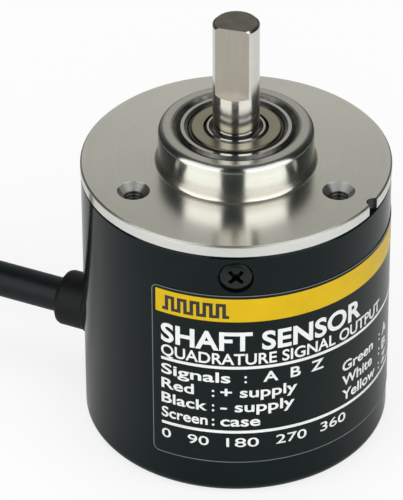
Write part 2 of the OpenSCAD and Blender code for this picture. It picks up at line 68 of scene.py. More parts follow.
# ------------------------------------------------------------------ shader node helpers
class Nodes:
    """Builds the node tree of a material or world.

    Node values may be numbers, colours or other nodes' output sockets. Lengths that end up
    as thresholds are given in mm; noise scales are per metre.
    """

    def __init__(self, owner, space):
        owner.use_nodes = True
        self.tree = owner.node_tree
        self.tree.nodes.clear()
        self.coords = self.node("ShaderNodeTexCoord").outputs[space]

    def feed(self, value, socket):
        if isinstance(value, bpy.types.NodeSocket):
            self.tree.links.new(value, socket)
            return
        if isinstance(value, tuple) and socket.type == "RGBA":
            value = (*value, 1)
        socket.default_value = value

    def node(self, kind, inputs=None, **settings):
        node = self.tree.nodes.new(kind)
        for key, value in settings.items():
            setattr(node, key, value)
        for key, value in (inputs or {}).items():
            self.feed(value, node.inputs[key])
        return node

    def math(self, operation, *values, clamp=False):
        node = self.node("ShaderNodeMath", dict(enumerate(values)),
                         operation=operation, use_clamp=clamp)
        return node.outputs[0]

    def plus(self, a, b):
        return self.math("ADD", a, b)

    def minus(self, a, b, clamp=False):
        return self.math("SUBTRACT", a, b, clamp=clamp)

    def times(self, a, b, clamp=False):
        return self.math("MULTIPLY", a, b, clamp=clamp)

    def add_part(self, base, mask, amount, clamp=False):
        return self.math("ADD", base, self.times(mask, amount), clamp=clamp)

    def extreme(self, operation, values):
        """The MINIMUM or MAXIMUM of several values."""
        return reduce(lambda a, b: self.math(operation, a, b), values)

    def hypotenuse(self, a, b):
        return self.math("SQRT", self.plus(self.times(a, a), self.times(b, b)))

    def xyz(self, vector=None):
        return self.node("ShaderNodeSeparateXYZ", {0: vector or self.coords}).outputs

    def ramp(self, factor, stops):
        """Colour ramp; each stop is a position and a grey or a colour."""
        node = self.node("ShaderNodeValToRGB", {0: factor})
        elements = node.color_ramp.elements
        while len(elements) < len(stops):
            elements.new(0.5)
        for element, (position, colour) in zip(elements, stops):
            element.position = position
            if isinstance(colour, (int, float)):
                colour = (colour, colour, colour)
            element.color = (*colour, 1)
        return node.outputs[0]

    def mix(self, factor, a, b):
        return self.node("ShaderNodeMix", {0: factor, 6: a, 7: b}, data_type="RGBA").outputs[2]


class Surface(Nodes):
    """A material with one Principled shader and helpers that add procedural detail to it."""

    def __init__(self, name):
        self.material = bpy.data.materials.new(name)
        super().__init__(self.material, "Object")
        self.principled = self.node("ShaderNodeBsdfPrincipled")
        self.output = self.node("ShaderNodeOutputMaterial", {0: self.principled.outputs[0]})

    def set(self, **inputs):
        """Feed Principled inputs; underscores in the keywords stand for spaces."""
        for key, value in inputs.items():
            self.feed(value, self.principled.inputs[key.replace("_", " ")])

    def source(self, key):
        """The socket that now feeds a Principled input."""
        return self.principled.inputs[key].links[0].from_socket

    def radius(self):
        x, y, z = self.xyz()
        return self.hypotenuse(x, y)

    def distance_from(self, x, y, radius, azimuth):
        """Distance in plan from the point at a radius (m) and azimuth (degrees)."""
        angle = math.radians(azimuth)
        return self.hypotenuse(self.minus(x, radius * math.cos(angle)),
                               self.minus(y, radius * math.sin(angle)))

    def rise(self, value, start, width):
        """0 below start, then up to 1 over the width (mm)."""
        return self.math("DIVIDE", self.minus(value, start * MM), width * MM, clamp=True)

    def fall(self, value, end, width):
        """0 above end, going up to 1 at the width (mm) below it."""
        return self.math("DIVIDE", self.minus(end * MM, value), width * MM, clamp=True)

    def band(self, value, low, high, soft):
        """1 between low and high, with soft ends inside them (mm)."""
        return self.times(self.rise(value, low, soft), self.fall(value, high, soft))

    def vector(self, x, y, z):
        return self.node("ShaderNodeCombineXYZ", {0: x, 1: y, 2: z}).outputs[0]

    def stretched(self, scale):
        return self.node("ShaderNodeMapping", {"Scale": scale, 0: self.coords}).outputs[0]

    def noise(self, scale, detail, rough, vector=None):
        return self.node("ShaderNodeTexNoise", {
            "Scale": scale, "Detail": detail, "Roughness": rough,
            "Vector": vector or self.coords}).outputs[0]

    def dot(self, a, b):
        node = self.node("ShaderNodeVectorMath", {0: a, 1: b}, operation="DOT_PRODUCT")
        return node.outputs["Value"]

    def true_normal(self):
        return self.node("ShaderNodeNewGeometry").outputs["True Normal"]

    def bump(self, height, distance, strength, below=None):
        """Bump of a distance in mm, laid over the normal below if one is given."""
        inputs = {"Strength": strength, "Distance": distance * MM, "Height": height}
        if below is not None:
            inputs["Normal"] = below
        return self.node("ShaderNodeBump", inputs).outputs[0]

    def worn_edges(self, colour, edge_colour, radius, strength):
        """Tint the edges, found where a bevelled normal leaves the shading normal."""
        bevel = self.node("ShaderNodeBevel", {"Radius": radius * MM}, samples=4)
        normal = self.node("ShaderNodeNewGeometry").outputs["Normal"]
        edge = self.minus(1.0, self.dot(bevel.outputs[0], normal), clamp=True)
        return self.mix(self.times(edge, strength, clamp=True), colour, edge_colour)


def brighter(colour, gain, lift=0.0):
    return tuple(min(1, c * gain + lift) for c in colour)


# ------------------------------------------------------------------ families of material
def turned(name, base, dark, rough, aniso=0.6, grain=0.0035, line=9000.0, gloss_spread=0.10):
    """Lathe-turned metal: fine rings by radius and height, slight tone drift, worn edges.

    grain is the depth of the rings in mm, line their frequency per metre.
    """
    s = Surface(name)
    r = s.radius()
    z = s.xyz()[2]

    def ring_noise(frequency, detail, rough, layer):
        rings = s.vector(s.times(r, frequency), s.times(z, frequency), layer)
        return s.noise(1.0, detail, rough, rings)

    rings = ring_noise(line, detail=3.0, rough=0.65, layer=0.0)
    wide = ring_noise(line / 9, detail=2.0, rough=0.5, layer=3.0)
    cloud = s.noise(scale=140.0, detail=4.0, rough=0.55)
    tone = s.plus(s.times(wide, 0.6), s.times(cloud, 0.4))
    colour = s.ramp(tone, [(0.30, dark), (0.70, base)])
    s.set(
        Base_Color=s.worn_edges(colour, brighter(base, 1.15), radius=0.12, strength=0.6),
        Roughness=s.add_part(rough - gloss_spread / 2, rings, gloss_spread),
        Metallic=1.0,
        Normal=s.bump(rings, distance=grain, strength=0.5))
    if aniso:
        tangent = s.node("ShaderNodeTangent", direction_type="RADIAL", axis="Z")
        s.set(Anisotropic=aniso, Anisotropic_Rotation=0.25, Tangent=tangent.outputs[0])
    return s


def ground(name, base, dark, rough, bump=0.002, stretch=(1, 1, 1)):
    """Ground, drawn or plated metal with fine grain and slight stains."""
    s = Surface(name)
    grain = s.noise(scale=2600.0, detail=3.0, rough=0.6, vector=s.stretched(stretch))
    stain = s.noise(scale=420.0, detail=4.0, rough=0.6)
    colour = s.ramp(stain, [(0.32, dark), (0.66, base)])
    s.set(
        Base_Color=s.worn_edges(colour, brighter(base, 1.2), radius=0.08, strength=0.7),
        Roughness=s.add_part(rough * 0.75, grain, rough * 0.5),
        Metallic=1.0,
        Normal=s.bump(grain, distance=bump, strength=0.5))
    return s


def moulded(name, base, light, rough, scale=1500.0, bump=0.004, specular=0.5, ior=1.48):
    """Moulded or painted surface: fine texture, uneven gloss, slightly paler edges."""
    s = Surface(name)
    fine = s.noise(scale, detail=3.0, rough=0.55)
    blot = s.noise(scale=190.0, detail=5.0, rough=0.6)
    colour = s.ramp(blot, [(0.30, base), (0.75, light)])
    s.set(
        Base_Color=s.worn_edges(colour, brighter(light, 1.6, 0.01), radius=0.1, strength=0.9),
        Roughness=s.add_part(rough * 0.85, blot, rough * 0.3),
        IOR=ior,
        Specular_IOR_Level=specular,
        Coat_Weight=0.0,
        Coat_Roughness=0.06,
        Normal=s.bump(fine, distance=bump, strength=0.6))
    return s


def clear(name, tint, rough=0.03):
    """Clear glass or resin with faint specks."""
    s = Surface(name)
    speck = s.noise(scale=900.0, detail=3.0, rough=0.5)
    s.set(
        Base_Color=s.ramp(speck, [(0.3, tuple(c * 0.92 for c in tint)), (0.7, tint)]),
        Roughness=rough,
        IOR=1.5,
        Transmission_Weight=0.95,
        Normal=s.bump(speck, distance=0.001, strength=0.3))
    return s


def film_material(name, ink, ink_dark, rough=0.26, ior=1.47):
    """Print on film: slight mottling in the ink, faint screen texture, soft gloss."""
    s = Surface(name)
    blot = s.noise(scale=260.0, detail=4.0, rough=0.6)
    fine = s.noise(scale=5200.0, detail=2.0, rough=0.5)
    tone = s.plus(s.times(blot, 0.7), s.times(fine, 0.3))
    s.set(
        Base_Color=s.ramp(tone, [(0.32, ink_dark), (0.66, ink)]),
        Roughness=s.add_part(rough - 0.04, blot, 0.08),
        IOR=ior,
        Normal=s.bump(fine, distance=0.0012, strength=0.5))
    return s.material


# ------------------------------------------------------------------ single materials
def board_material():
    """Green solder mask over a net of raised tracks and a faint weave."""
    s = Surface("solder_mask_green")
    cells = s.node("ShaderNodeTexVoronoi", {"Scale": 420.0, "Vector": s.coords},
                   feature="DISTANCE_TO_EDGE")
    weave = s.node("ShaderNodeTexWave", {"Scale": 900.0, "Vector": s.coords},
                   wave_type="BANDS")
    track = s.ramp(cells.outputs[0], [(0.05, 1.0), (0.09, 0.0)])
    mask = s.mix(track, (0.012, 0.12, 0.05), (0.03, 0.22, 0.08))
    s.set(
        Base_Color=s.mix(s.times(weave.outputs[1], 0.15), mask, (0.05, 0.26, 0.12)),
        Roughness=0.25,
        Normal=s.bump(track, distance=0.03, strength=0.5))
    return s


def flange_material():
    """Turned aluminium: fine rings, a duller boss foot with painted shade, painted shade on the
    boss's edge rounding, dull countersinks, painted light and shade along the tapped threads,
    painted shade in the rim notch, over the -Y half of the face and in the seam.
    """
    s = turned("turned_flange_aluminium", (0.86, 0.855, 0.795), (0.76, 0.755, 0.70),
               rough=0.18, aniso=0.84, line=7000.0, gloss_spread=0.07)
    r = s.radius()
    x, y, z = s.xyz()
    colour = s.source("Base Color")
    rough = s.source("Roughness")

    def zone(distance, across, heights):
        """Mask of a range of distances and of heights, each as (low, high, soft) in mm."""
        return s.times(s.band(distance, *across), s.band(z, *heights))

    hole = s.extreme("MINIMUM", [s.distance_from(x, y, HOLE_CIRCLE_R, azimuth)
                                 for azimuth in TAPPED_HOLE_AZIMUTHS])
    notch_centre = s.distance_from(x, y, 20.05 * MM, RIM_NOTCH_AZIMUTH)

    # boss_foot paints shade: a dull brownish darkening at the foot, where the boss meets the face
    boss_foot = zone(r, (9.95, 10.62, 0.08), (-0.4, 2.3, 0.9))
    boss_face = zone(r, (8.0, 9.4, 0.2), (4.9, 5.1, 0.05))
    # boss_edge paints shade on the boss's edge rounding, which mutes its highlight
    boss_edge = zone(r, (9.05, 9.97, 0.12), (4.12, 4.99, 0.04))
    countersink = zone(hole, (0.0, 2.15, 0.03), (-12.0, -0.012, 0.01))
    bore = zone(hole, (0.0, 1.32, 0.04), (-12.0, -0.75, 0.15))
    rim = zone(r, (19.7, 21.0, 0.1), (-3.0, -0.1, 0.08))
    rim_edge = zone(r, (19.72, 20.02, 0.04), (-0.32, -0.01, 0.03))
    # notch paints shade: the inside of the rim notch is tinted near black
    notch = zone(notch_centre, (0.0, 1.0, 0.03), (-3.0, -0.012, 0.01))

    # painted shade in the seam between boss and bearing, darker inwards
    seam = s.times(s.band(r, 7.3, 8.42, soft=0.05), s.fall(r, 8.42, width=0.42))
    seam = s.times(seam, s.band(z, 4.2, 5.05, soft=0.03))
    shade_mottle = s.ramp(s.noise(scale=900.0, detail=3.0, rough=0.6), [(0.3, 0.55), (0.7, 1.0)])

    # painted shade on the face, darker towards the -Y half; the film mask carries this shade
    toward_front = s.minus(0.5, s.math("DIVIDE", y, 30.0 * MM), clamp=True)
    film = s.times(s.band(r, 10.5, 20.2, soft=0.3), toward_front)

    # painted shade and painted highlights: dark and bright lines standing in for the threads in
    # the tapped holes
    pitch = 0.5 * MM
    flank = s.math("SINE", s.times(z, 2 * math.pi / pitch))
    thread_light_and_shade = s.mix(s.math("GREATER_THAN", flank, 0.2), (0.10, 0.10, 0.095), (0.50, 0.50, 0.47))

    # later tints lie over earlier ones
    for mask, tint in (
        (s.times(film, 0.21), (0.0, 0.0, 0.0)),
        (s.times(boss_foot, 0.85), (0.56, 0.52, 0.44)),
        (boss_face, (0.64, 0.635, 0.585)),
        (boss_edge, (0.54, 0.535, 0.505)),
        (countersink, (0.42, 0.42, 0.40)),
        (s.times(bore, 0.85), thread_light_and_shade),
        (rim, (0.78, 0.78, 0.74)),
        (s.times(notch, 0.95), (0.03, 0.031, 0.03)),
        (s.times(seam, s.times(shade_mottle, 0.86)), (0.045, 0.045, 0.038)),
    ):
        colour = s.mix(mask, colour, tint)

    for mask, added_rough in ((boss_foot, 0.12), (boss_face, 0.10), (boss_edge, 0.03),
                              (rim_edge, 0.32), (countersink, 0.28), (notch, 0.25)):
        rough = s.add_part(rough, mask, added_rough)
    s.set(Base_Color=colour, Roughness=s.add_part(rough, seam, 0.25, clamp=True))
    return s


def bearing_ring_material():
    """Ground bearing ring: bright end faces, painted shade on every other surface."""
    s = turned("ground_bearing_ring", (0.62, 0.61, 0.58), (0.53, 0.52, 0.49),
               rough=0.13, aniso=0.4, grain=0.001)
    upright = s.math("ABSOLUTE", s.xyz(s.true_normal())[2])
    off_face = s.math("LESS_THAN", upright, 0.96)
    shallow = s.math("GREATER_THAN", upright, 0.78)      # shallow chamfers get less painted shade
    slope = s.times(off_face, s.minus(1.0, s.times(shallow, 0.45)))
    shade_mottle = s.ramp(s.noise(scale=1100.0, detail=3.0, rough=0.6), [(0.3, 0.75), (0.7, 1.0)])
    painted_shade = s.times(s.times(slope, shade_mottle), 0.88)
    s.set(Base_Color=s.mix(painted_shade, s.source("Base Color"), (0.025, 0.025, 0.021)),
          Roughness=s.add_part(s.source("Roughness"), slope, 0.22))
    return s


def bearing_shield_material():
    """Pressed shield, lightly oiled, with a line of painted shade where its outer curl meets the
    ring.
    """
    s = turned("oiled_shield_steel", (0.47, 0.445, 0.345), (0.38, 0.36, 0.275),
               rough=0.33, aniso=0.5, grain=0.003)
    # painted shade along the outer curl, where the shield meets the ring
    curl = s.rise(s.radius(), 5.62, width=0.14)
    s.set(Base_Color=s.mix(s.times(curl, 0.84), s.source("Base Color"), (0.03, 0.03, 0.024)))
    return s


def case_screw_material():
    """Blackened screws set radially in the side: satin heads, painted shade in the recesses."""
    s = Surface("black_screw")
    x, y, z = s.xyz()
    fine = s.noise(scale=2600.0, detail=3.0, rough=0.55)
    along = []                                           # along and across each screw's axis
    across = []
    for azimuth in CASE_SCREW_AZIMUTHS:
        cos, sin = math.cos(math.radians(azimuth)), math.sin(math.radians(azimuth))
        along.append(s.plus(s.times(x, cos), s.times(y, sin)))
        across.append(s.math("ABSOLUTE", s.minus(s.times(y, cos), s.times(x, sin))))
    depth_along = s.extreme("MAXIMUM", along)
    from_axis = s.hypotenuse(s.extreme("MINIMUM", across), s.plus(z, 4.75 * MM))
    # painted shade: the recesses get a darker colour and little specular
    recess_shade = s.times(s.math("LESS_THAN", from_axis, 1.28 * MM),
                     s.fall(depth_along, 19.72, width=0.10))
    head = s.ramp(fine, [(0.3, (0.0024, 0.0042, 0.0042)), (0.7, (0.0055, 0.0078, 0.0078))])
    s.set(
        Base_Color=s.mix(recess_shade, head, (0.0008, 0.0010, 0.0010)),
        Specular_IOR_Level=s.minus(0.46, s.times(recess_shade, 0.40)),
        IOR=1.40,
        Roughness=s.add_part(0.20, fine, 0.08),
        Normal=s.bump(fine, distance=0.004, strength=0.5))
    return s


def shaft_material():
    """Ground round stock; the flat is duller with lengthwise mill marks, the top end dark."""
    s = turned("shaft_round_and_flat", (0.80, 0.78, 0.735), (0.70, 0.68, 0.635),
               rough=0.15, aniso=0.25, grain=0.002)
    angle = math.radians(SHAFT_FLAT_AZIMUTH)
    cos, sin = math.cos(angle), math.sin(angle)
    x, y, z = s.xyz()
    normal = s.true_normal()
    faces_flat = s.math("GREATER_THAN", s.dot(normal, (cos, sin, 0.0)), 0.9995)
    reach = s.plus(s.times(x, cos), s.times(y, sin))
    is_flat = s.times(faces_flat, s.math("LESS_THAN", reach, 2.6 * MM))
    is_end = s.times(s.math("GREATER_THAN", s.xyz(normal)[2], 0.99),
                     s.math("GREATER_THAN", z, SHAFT_TOP - 0.05 * MM))

    mill = s.noise(scale=1.0, detail=3.0, rough=0.6, vector=s.stretched((9000.0, 9000.0, 260.0)))
    stain = s.noise(scale=700.0, detail=4.0, rough=0.6)
    flat_colour = s.ramp(mill, [(0.2, (0.44, 0.405, 0.345)), (0.8, (0.52, 0.48, 0.415))])
    end_colour = s.ramp(stain, [(0.3, (0.215, 0.205, 0.165)), (0.7, (0.29, 0.28, 0.235))])
    colour = s.mix(is_flat, s.source("Base Color"), flat_colour)
    rough = s.add_part(s.source("Roughness"), is_flat, 0.2)
    s.set(
        Base_Color=s.mix(is_end, colour, end_colour),
        Roughness=s.add_part(rough, is_end, 0.3),
        Normal=s.bump(mill, distance=0.004, strength=s.times(is_flat, 0.5),
                      below=s.source("Normal")))
    return s


# ------------------------------------------------------------------ material of each slot
# turned and ground take a name, the main colour and a darker tone;
# moulded takes a name, the main colour and a lighter tone; bump depths are in mm
SURFACES = {
    "flange_aluminium": flange_material(),
    "shaft_steel": shaft_material(),
    "bearing_steel": bearing_ring_material(),
    "bearing_shield": bearing_shield_material(),
    "case_screw": case_screw_material(),
    "board_green": board_material(),
    "hub_brass": turned("turned_brass", (0.80, 0.66, 0.36), (0.68, 0.54, 0.28), rough=0.22),
    "post_brass": turned("post_brass", (0.80, 0.68, 0.40), (0.70, 0.57, 0.32),
                         rough=0.2, aniso=0.0),
    "ball_steel": ground("ball_steel", (0.80, 0.80, 0.81), (0.74, 0.74, 0.75),
                         rough=0.04, bump=0.0002),
    "bearing_cage": ground("pressed_brass", (0.78, 0.62, 0.32), (0.66, 0.50, 0.24), rough=0.25),
    "spring_steel": ground("spring_steel", (0.46, 0.46, 0.47), (0.36, 0.36, 0.37), rough=0.22),
    "disc_steel": ground("etched_sheet_steel", (0.55, 0.55, 0.57), (0.48, 0.48, 0.50),
                         rough=0.14),
    "screw_zinc": ground("zinc_plated_steel", (0.66, 0.66, 0.65), (0.52, 0.53, 0.50),
                         rough=0.24),
    "tinned_wire": ground("tinned_wire", (0.70, 0.70, 0.71), (0.60, 0.60, 0.61), rough=0.2),
    "capacitor_can": ground("capacitor_can", (0.74, 0.74, 0.76), (0.64, 0.64, 0.66),
                            rough=0.28, stretch=(1, 1, 0.1)),
    "solder": ground("solder", (0.68, 0.68, 0.70), (0.56, 0.56, 0.58), rough=0.18, bump=0.01),
    "copper": ground("bare_copper", (0.86, 0.46, 0.28), (0.70, 0.34, 0.20), rough=0.2),
    "shield_braid": ground("tinned_braid", (0.70, 0.69, 0.67), (0.55, 0.54, 0.52), rough=0.24),
    "clamp_steel": ground("clamp_steel", (0.64, 0.63, 0.60), (0.54, 0.53, 0.50), rough=0.25),
    "lamp_lens": clear("lamp_epoxy", (0.86, 0.92, 0.98)),
    "reticle_glass": clear("reticle_glass", (0.80, 0.90, 0.92), rough=0.01),
    "set_screw_steel": moulded("black_oxide_steel", (0.02, 0.02, 0.022), (0.05, 0.05, 0.05),
                               rough=0.35),
    "holder_plastic": moulded("glass_filled_black_plastic", (0.016, 0.016, 0.018),
                              (0.034, 0.034, 0.036), rough=0.5, scale=3200, bump=0.01),
    "ic_epoxy": moulded("chip_epoxy", (0.018, 0.018, 0.02), (0.034, 0.034, 0.036),
                        rough=0.55, scale=5200, bump=0.012),
    "chip_ceramic": moulded("chip_ceramic", (0.24, 0.17, 0.10), (0.36, 0.27, 0.18), rough=0.4),
    "cable_jacket": moulded("cable_pvc", (0.0025, 0.0050, 0.0058), (0.006, 0.0100, 0.0115),
                            rough=0.36, scale=2300, bump=0.005, specular=0.25),
    "bush_rubber": moulded("bush_rubber", (0.004, 0.0052, 0.0052), (0.009, 0.011, 0.011),
                           rough=0.45, scale=3600, bump=0.012, specular=0.2),
    "case_black": moulded("gloss_black_case", (0.0010, 0.0052, 0.0050),
                          (0.0024, 0.0078, 0.0078), rough=0.12, scale=2600, bump=0.0012,
                          ior=1.265),
    "label_film": moulded("label_film_black", (0.0014, 0.0060, 0.0058),
                          (0.0030, 0.0086, 0.0084), rough=0.18, scale=3000, bump=0.0015,
                          ior=1.275),
}
# insulation of the leads: colour name, main colour, lighter tone
for lead, base, light in (
    ("red", (0.50, 0.03, 0.02), (0.58, 0.05, 0.035)),
    ("black", (0.012, 0.012, 0.013), (0.022, 0.022, 0.023)),
    ("green", (0.03, 0.22, 0.06), (0.05, 0.28, 0.09)),
    ("white", (0.72, 0.72, 0.69), (0.82, 0.82, 0.79)),
    ("yellow", (0.74, 0.50, 0.03), (0.84, 0.60, 0.05)),
):
    SURFACES["lead_" + lead] = moulded("insulation_" + lead, base, light, rough=0.34, bump=0.002)
MATERIALS = {slot: surface.material for slot, surface in SURFACES.items()}


def shade(obj, angle):
    """Smooth shading that keeps corners sharper than the angle (degrees)."""
    mesh = obj.data
    mesh.polygons.foreach_set("use_smooth", [True] * len(mesh.polygons))
    mesh.update()
    mesh.set_sharp_from_angle(angle=math.radians(angle))


def dress_frame():
    slot_of = {part["node"]: part["material_slot"] for part in frame["record"]["subparts"]}
    for name, obj in frame["nodes"].items():
        obj.data.materials.clear()
        obj.data.materials.append(MATERIALS[slot_of[name]])
        for polygon in obj.data.polygons:
            polygon.material_index = 0
        shade(obj, angle=32)


dress_frame()

# ------------------------------------------------------------------ printed label
# Print is laid out flat (x = arc length on the case, y = height, in mm), cut into narrow
# columns, given a thickness and rolled on to the case, so that all of it is thin closed solids.
# Below, azimuths are in degrees, heights and layers in mm.
CASE_R_MM = CASE_HIGH.x / MM
ARC = CASE_R_MM * math.pi / 180.0                   # mm of arc for one degree
COLUMN_WIDTH = 0.45

LABEL_START = 237.9
LABEL_END = LABEL_START + 150.0
LABEL_TOP = LABEL_HIGH.z / MM
LABEL_BOTTOM = LABEL_LOW.z / MM
LABEL_CORNER = 0.9
CUT_EDGE_WIDTH = 0.13
BAND_INSET = 1.7                                    # degrees in from each end of the label
TEXT_START = 241.7
RULE_END = LABEL_END - 3.6
RULE_HEIGHT = 0.43

# inner and outer surface of each layer, above the case's radius
FILM_LAYER = (-0.03, 0.08)
CUT_EDGE_LAYER = (0.075, 0.09)
BLOCK_LAYER = (0.07, 0.10)
TEXT_LAYER = (0.075, 0.105)
PULSE_LAYER = (0.09, 0.115)

# legend rows: name, then words with their start and end azimuths
ROW_TOP = -19.45
ROW_PITCH = 2.3
ROW_CAPITALS = 1.6
LEGEND = (
    ("signals", (("Signals", TEXT_START, 268.0), (":", 273.1, 274.0), ("A  B  Z", 280.0, 304.0))),
    ("plus", (("Red", TEXT_START, 254.5), (":", 261.2, 262.1), ("+ supply", 264.3, 293.0),
              ("Green", 313.0, 332.0), (":", 337.4, 338.3), ("A", 341.0, 346.0))),
    ("minus", (("Black", TEXT_START, 259.4), (":", 261.2, 262.1), ("- supply", 264.3, 292.0),
               ("White", 313.0, 331.5), (":", 337.4, 338.3), ("B", 341.0, 345.8))),
    ("screen", (("Screen", TEXT_START, 259.6), (":", 261.2, 262.1), ("case", 264.3, 279.0),
                ("Yellow", 313.0, 334.0), (":", 337.4, 338.3), ("Z", 341.0, 346.2))),
)
SCALE = (("0", TEXT_START, 245.4), ("90", 252.0, 260.0), ("180", 266.5, 278.5),
         ("270", 285.0, 297.0), ("360", 303.0, 315.0))


def rolled(name, bm, layer, material):
    """Cut a flat region into columns, give it the layer's thickness and roll it on the case."""
    bmesh.ops.remove_doubles(bm, verts=bm.verts, dist=1e-5)
    start = min(v.co.x for v in bm.verts)
    end = max(v.co.x for v in bm.verts)
    x = math.floor(start / COLUMN_WIDTH) * COLUMN_WIDTH + COLUMN_WIDTH
    while x < end - 1e-4:
        if x - start > 1e-4:
            bmesh.ops.bisect_plane(bm, geom=bm.verts[:] + bm.edges[:] + bm.faces[:], dist=1e-6,
                                   plane_co=(x, 0, 0), plane_no=(1, 0, 0))
        x += COLUMN_WIDTH
    bmesh.ops.triangulate(bm, faces=[f for f in bm.faces if len(f.verts) > 4])
    bmesh.ops.recalc_face_normals(bm, faces=bm.faces)
    if sum(f.normal.z * f.calc_area() for f in bm.faces) < 0:
        bmesh.ops.reverse_faces(bm, faces=bm.faces)
    extruded = bmesh.ops.extrude_face_region(bm, geom=bm.faces[:], use_keep_orig=True)
    for item in extruded["geom"]:
        if isinstance(item, bmesh.types.BMVert):
            item.co.z = 1.0

    inner, outer = layer
    for v in bm.verts:
        radius = (CASE_R_MM + (outer if v.co.z > 0.5 else inner)) * MM
        angle = v.co.x / CASE_R_MM
        v.co = Vector((radius * math.cos(angle), radius * math.sin(angle), v.co.y * MM))

    bmesh.ops.recalc_face_normals(bm, faces=bm.faces)
    mesh = bpy.data.meshes.new(name)
    bm.to_mesh(mesh)
    bm.free()
    obj = bpy.data.objects.new(name, mesh)
    bpy.context.scene.collection.objects.link(obj)
    mesh.materials.append(material)
    shade(obj, angle=30)
    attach(obj, "stator")
    return obj


def flat_polygon(points):
    bm = bmesh.new()
    bm.faces.new([bm.verts.new((x, y, 0.0)) for x, y in points])
    return bm


def rounded_rect(x0, x1, y0, y1, corner, steps=7):
    points = []
    for x, y, start in ((x1 - corner, y1 - corner, 0), (x0 + corner, y1 - corner, 90),
                        (x0 + corner, y0 + corner, 180), (x1 - corner, y0 + corner, 270)):
        for k in range(steps + 1):
            angle = math.radians(start + 90.0 * k / steps)
            points.append((x + corner * math.cos(angle), y + corner * math.sin(angle)))
    return points


def label_outline(inset):
    return rounded_rect(LABEL_START * ARC + inset, LABEL_END * ARC - inset,
                        LABEL_BOTTOM + inset, LABEL_TOP - inset, LABEL_CORNER - inset)


def outline_ring():
    """Flat ring between the label's outline and the same outline moved inwards."""
    bm = bmesh.new()
    outer, inner = ([bm.verts.new((x, y, 0)) for x, y in label_outline(inset)]
                    for inset in (0.0, CUT_EDGE_WIDTH))
    for i in range(len(outer)):
        j = (i + 1) % len(outer)
        bm.faces.new((outer[i], outer[j], inner[j], inner[i]))
    return bm


def pulse_train():
    """Flat mitred stroke along a square wave of five pulses."""
    low, high = -10.75, -8.95
    stroke = 0.46
    step = 3.2 * ARC
    end_run, run = step * 0.55, step * 0.75
    x = 242.4 * ARC
    path = [Vector((x, low))]
    for k in range(5):
        x += end_run if k == 0 else run
        path += [Vector((x, low)), Vector((x, high))]
        x += run
        path += [Vector((x, high)), Vector((x, low))]
    path.append(Vector((x + end_run, low)))

    normals = []
    for a, b in zip(path, path[1:]):
        along = (b - a).normalized()
        normals.append(Vector((-along.y, along.x)))
    bm = bmesh.new()
    left = []
    right = []
    for i, point in enumerate(path):
        before = normals[max(i - 1, 0)]
        after = normals[min(i, len(normals) - 1)]
        mitre = (before + after).normalized()
        reach = (stroke / 2) / mitre.dot(before)
        for side, sign in ((left, 1), (right, -1)):
            side.append(bm.verts.new((point.x + sign * mitre.x * reach,
                                      point.y + sign * mitre.y * reach, 0)))
    for i in range(len(path) - 1):
        bm.faces.new((right[i], right[i + 1], left[i + 1], left[i]))
    return bm


def text_mesh(text, bold, spacing):
    curve = bpy.data.curves.new("print", "FONT")
    curve.body = text
    curve.size = 1.0
    curve.offset = bold
    curve.space_character = spacing
    curve.resolution_u = 5
    curve.fill_mode = "FRONT"
    obj = bpy.data.objects.new("print", curve)
    bpy.context.scene.collection.objects.link(obj)
    depsgraph = bpy.context.evaluated_depsgraph_get()
    mesh = bpy.data.meshes.new_from_object(obj.evaluated_get(depsgraph))
    bpy.data.objects.remove(obj)
    bpy.data.curves.remove(curve)
    return mesh


def glyphs(text, bold, spacing):
    """Text as a flat filled bmesh, scaled so that a capital H stands from y = 0 to 1."""
    reference = text_mesh("H", bold, spacing)
    base = min(v.co.y for v in reference.vertices)
    capital = max(v.co.y for v in reference.vertices) - base
    bpy.data.meshes.remove(reference)
    mesh = text_mesh(text, bold, spacing)
    bm = bmesh.new()
    bm.from_mesh(mesh)
    bpy.data.meshes.remove(mesh)
    for v in bm.verts:
        v.co = (v.co.x / capital, (v.co.y - base) / capital, 0.0)
    return bm


def print_line(name, text, start, end, top, bottom, material, bold, spacing=1.0):
    """A line of print between two azimuths, its capitals from height bottom to top."""
    bm = glyphs(text, bold, spacing)
    x0 = min(v.co.x for v in bm.verts)
    x1 = max(v.co.x for v in bm.verts)
    stretch = (end - start) * ARC / (x1 - x0)
    for v in bm.verts:
        v.co.x = start * ARC + (v.co.x - x0) * stretch
        v.co.y = bottom + v.co.y * (top - bottom)
    rolled(name, bm, TEXT_LAYER, material)


def print_row(name, words, top, capitals, material, bold):
    for i, (word, start, end) in enumerate(words):
        print_line(f"print_{name}_{i}", word, start, end, top, top - capitals, material, bold)


